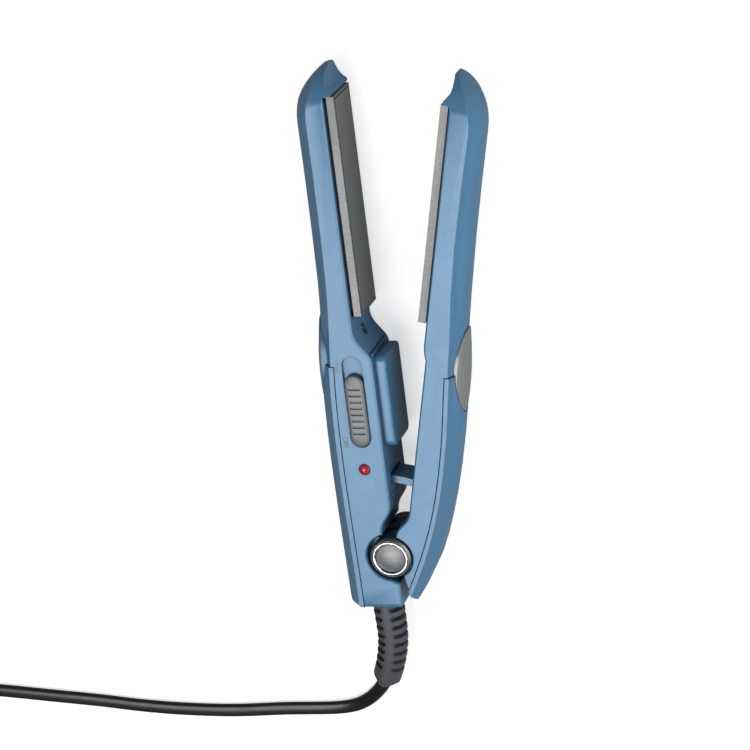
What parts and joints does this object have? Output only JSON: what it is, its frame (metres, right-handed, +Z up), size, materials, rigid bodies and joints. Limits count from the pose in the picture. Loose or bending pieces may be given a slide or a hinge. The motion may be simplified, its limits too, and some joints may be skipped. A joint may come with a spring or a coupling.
{
  "type": "hair straightener",
  "caption": "Small hinged hair straightener with flat heated plates, a slide switch on the side, a slotted strain relief and a flat mains cord with a two-pin plug.",
  "frame": {"origin": "on the hinge axis, at the outer face of the flat rear hinge cap that the iron lies on", "axes": "+Y from the hinge towards the tips, along the base arm; +X from the base arm towards the lever arm; +Z up, along the hinge axis"},
  "size_m": [0.3214, 0.2705, 0.0266],
  "materials": {
    "blue_plastic": "satin",
    "aluminium": "satin",
    "plate_coating": "satin",
    "ceramic": "matt",
    "heat_plastic": "matt",
    "brushed_metal": "brushed",
    "chrome": "polished",
    "silver_badge": "satin",
    "steel": "bright",
    "circuit_board": "satin",
    "black_plastic": "satin",
    "grey_plastic": "satin",
    "red_lens": "clear gloss",
    "red_wire": "satin",
    "white_wire": "satin",
    "dark_rubber": "satin",
    "cord_black": "gloss"
  },
  "bodies": {
    "base_arm": {"base_housing": "blue_plastic", "base_cover": "blue_plastic", "base_inner_cover": "blue_plastic", "base_thumb_pad": "blue_plastic", "base_plate_frame": "aluminium", "base_plate_face": "plate_coating", "base_heater": "ceramic", "base_heater_carrier": "heat_plastic", "pivot_cap": "brushed_metal", "pivot_cap_ring": "chrome", "pivot_cap_disc": "brushed_metal", "rear_pivot_cap": "brushed_metal", "pivot_pin": "steel", "torsion_spring": "steel", "circuit_board": "circuit_board", "switch_body": "black_plastic", "indicator_led": "red_lens", "live_lead": "red_wire", "neutral_lead": "white_wire", "strain_relief": "dark_rubber", "cord": "cord_black", "cord_tail": "cord_black", "cord_coil": "cord_black", "plug_body": "cord_black", "plug_left_blade": "steel", "plug_right_blade": "steel"},
    "lever_arm": {"lever_housing": "blue_plastic", "lever_cover": "blue_plastic", "lever_inner_cover": "blue_plastic", "lever_badge": "silver_badge", "lever_plate_frame": "aluminium", "lever_plate_face": "plate_coating", "lever_heater": "ceramic", "lever_heater_carrier": "heat_plastic", "stop_tongue": "blue_plastic"},
    "switch_button": {"slide_switch_knob": "grey_plastic"}
  },
  "joints": [
    {"name": "jaw_hinge", "type": "hinge", "parent": "base_arm", "child": "lever_arm", "pos_m": [0, 0, 0.0132], "axis": [0, 0, 1], "range_deg": [0, 12.5], "stiffness_Nm_per_rad": 0.5, "springref_deg": -17.19, "deforming": ["torsion_spring"]},
    {"name": "switch_slide", "type": "slide", "parent": "base_arm", "child": "switch_button", "axis": [0, 1, 0], "range_m": [0, 0.0068]}
  ]
}
